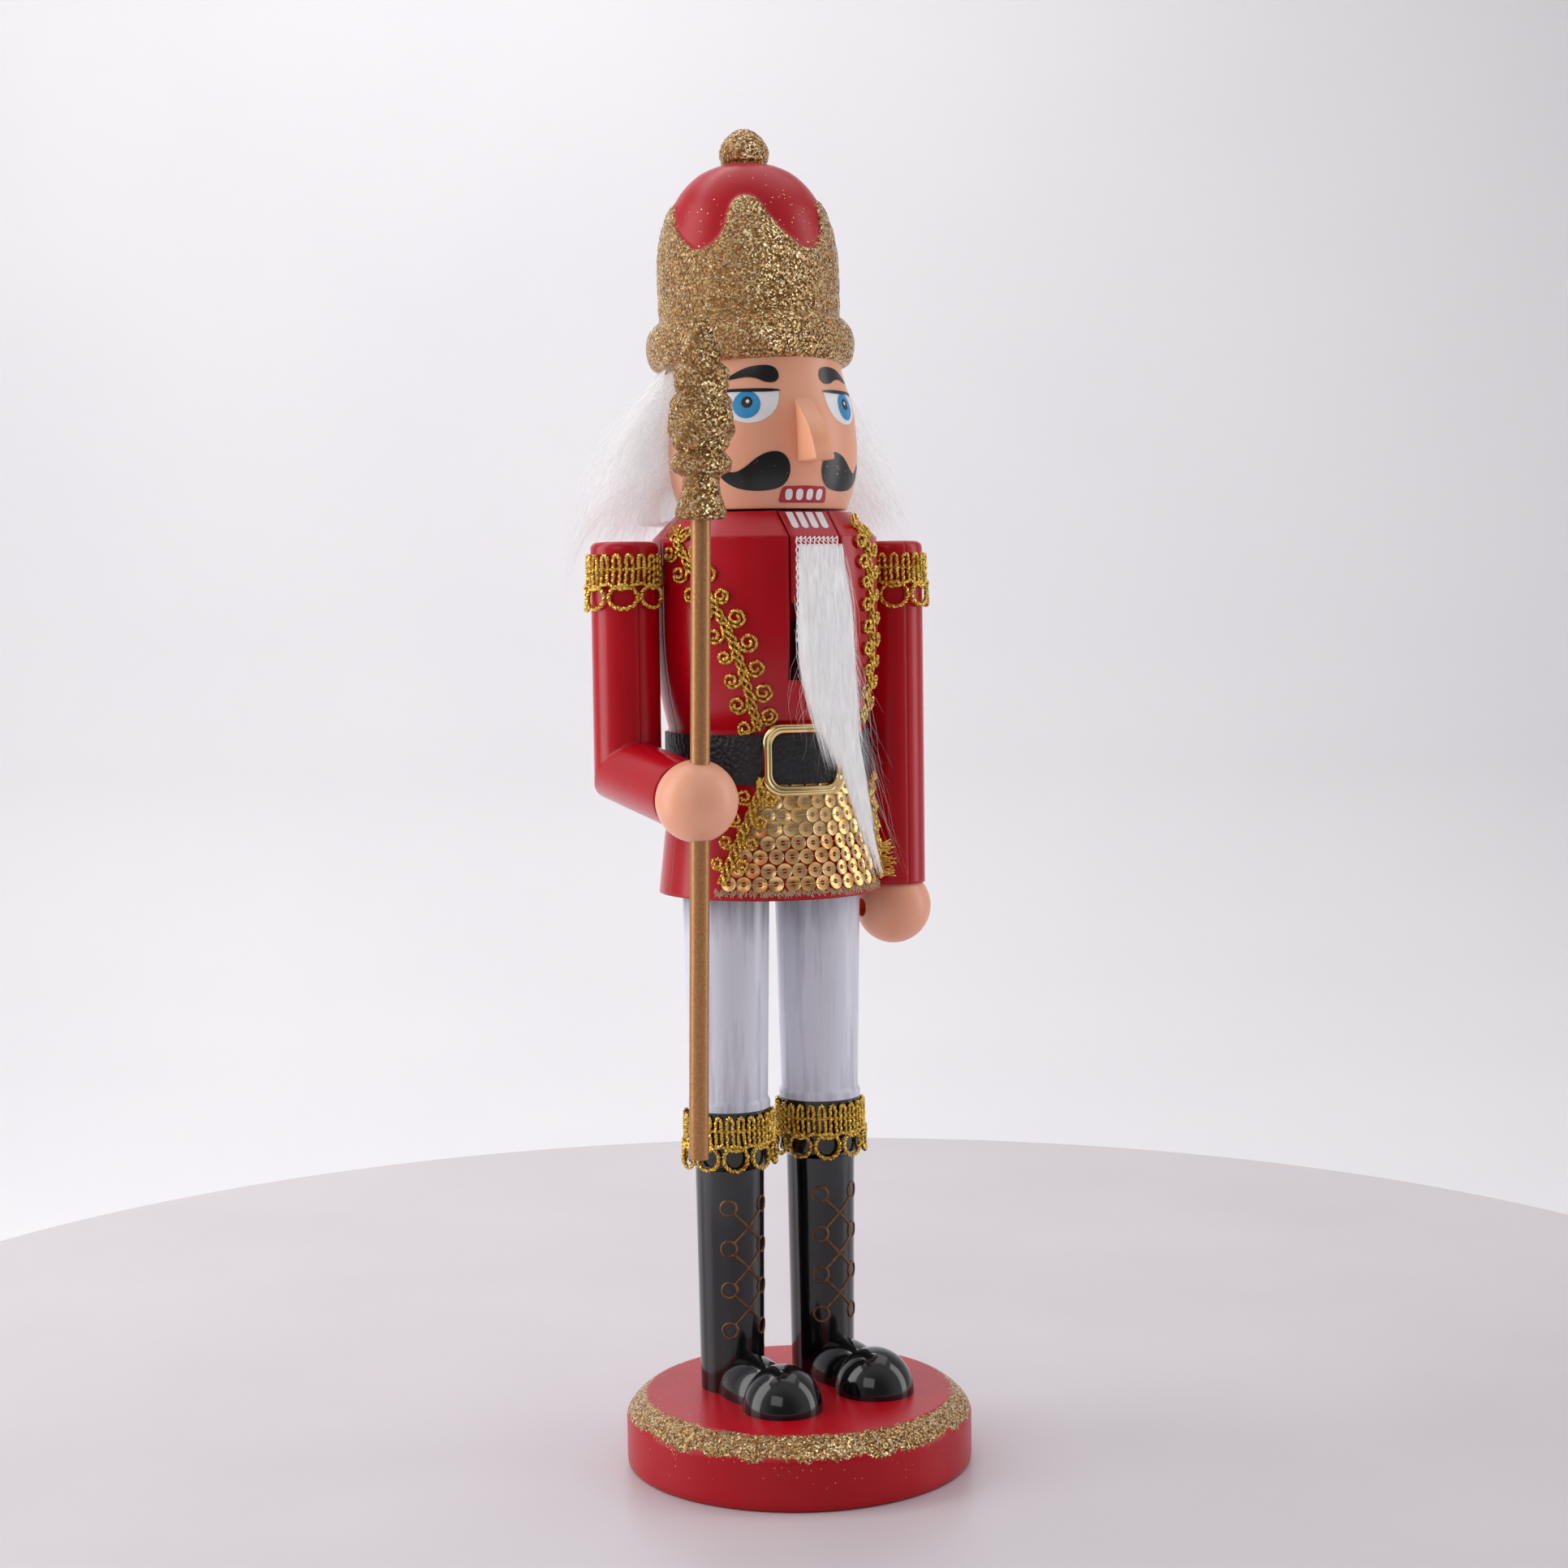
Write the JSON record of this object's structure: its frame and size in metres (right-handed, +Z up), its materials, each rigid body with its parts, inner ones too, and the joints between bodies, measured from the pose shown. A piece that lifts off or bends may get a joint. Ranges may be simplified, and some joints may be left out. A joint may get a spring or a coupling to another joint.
{
  "type": "nutcracker figure",
  "caption": "Standing nutcracker figure in a red coat with a domed hat, white hair and beard, a lever jaw, turning arms and a staff, on a round base.",
  "frame": {"origin": "centre of the round base's flat underside, on the surface it stands on", "axes": "+Z up, -Y the way the figure faces, -X its right hand with the staff, +X its left hand"},
  "size_m": [0.087, 0.088, 0.3071],
  "materials": {
    "red_plastic": "high gloss",
    "skin_plastic": "satin",
    "hat_plastic": "high gloss, gold glitter bands",
    "leg_plastic": "white paint above black boots",
    "boot_plastic": "high gloss",
    "base_plastic": "as moulded",
    "inner_plastic": "as moulded",
    "staff_bronze": "bronze paint, satin, glitter on its head",
    "buckle_metal": "polished",
    "belt_leather": "fine grain",
    "gold_gimp": "metallic cord",
    "sequin_cloth": "sequins on net",
    "white_fur": "fluffy",
    "steel": "plain"
  },
  "bodies": {
    "figure": {"apron": "sequin_cloth", "base_plate": "base_plastic", "base_shell": "red_plastic", "belt": "belt_leather", "buckle": "buckle_metal", "coat_back": "red_plastic", "coat_front": "red_plastic", "hair": "white_fur", "hat_finial": "hat_plastic", "hat_peg": "inner_plastic", "hat_shell": "hat_plastic", "head_back": "skin_plastic", "head_front": "skin_plastic", "hip_plate": "inner_plastic", "jaw_pin": "steel", "left_apron_braid": "gold_gimp", "left_chest_braid": "gold_gimp", "left_knee_trim": "gold_gimp", "left_leg_back": "leg_plastic", "left_leg_front": "leg_plastic", "left_shoe": "boot_plastic", "leg_screws": "steel", "neck_peg": "inner_plastic", "nose": "skin_plastic", "right_apron_braid": "gold_gimp", "right_chest_braid": "gold_gimp", "right_knee_trim": "gold_gimp", "right_leg_back": "leg_plastic", "right_leg_front": "leg_plastic", "right_shoe": "boot_plastic"},
    "jaw": {"jaw_lever": "red_plastic", "beard_tape": "white_fur", "beard": "white_fur"},
    "right_arm": {"right_arm_outer": "red_plastic", "right_arm_inner": "red_plastic", "right_hand": "skin_plastic", "right_shoulder_pin": "inner_plastic", "right_epaulette": "gold_gimp"},
    "left_arm": {"left_arm_outer": "red_plastic", "left_arm_inner": "red_plastic", "left_hand": "skin_plastic", "left_shoulder_pin": "inner_plastic", "left_epaulette": "gold_gimp"},
    "staff": {"staff_rod": "staff_bronze", "staff_head": "staff_bronze"}
  },
  "joints": [
    {"name": "jaw", "type": "hinge", "parent": "figure", "child": "jaw", "pos_m": [0, 0.012, 0.1989], "axis": [1, 0, 0], "range_deg": [0, 15], "deforming": ["beard"]},
    {"name": "right_shoulder", "type": "hinge", "parent": "figure", "child": "right_arm", "pos_m": [-0.0344, 0.0142, 0.2048], "axis": [-1, 0, 0], "range_deg": [-15, 25]},
    {"name": "left_shoulder", "type": "hinge", "parent": "figure", "child": "left_arm", "pos_m": [0.0344, 0.0142, 0.2048], "axis": [-1, 0, 0], "range_deg": [-30, 120]},
    {"name": "staff_slide", "type": "slide", "parent": "right_arm", "child": "staff", "axis": [0, -0.0436, 0.999], "range_m": [-0.045, 0.055]}
  ]
}
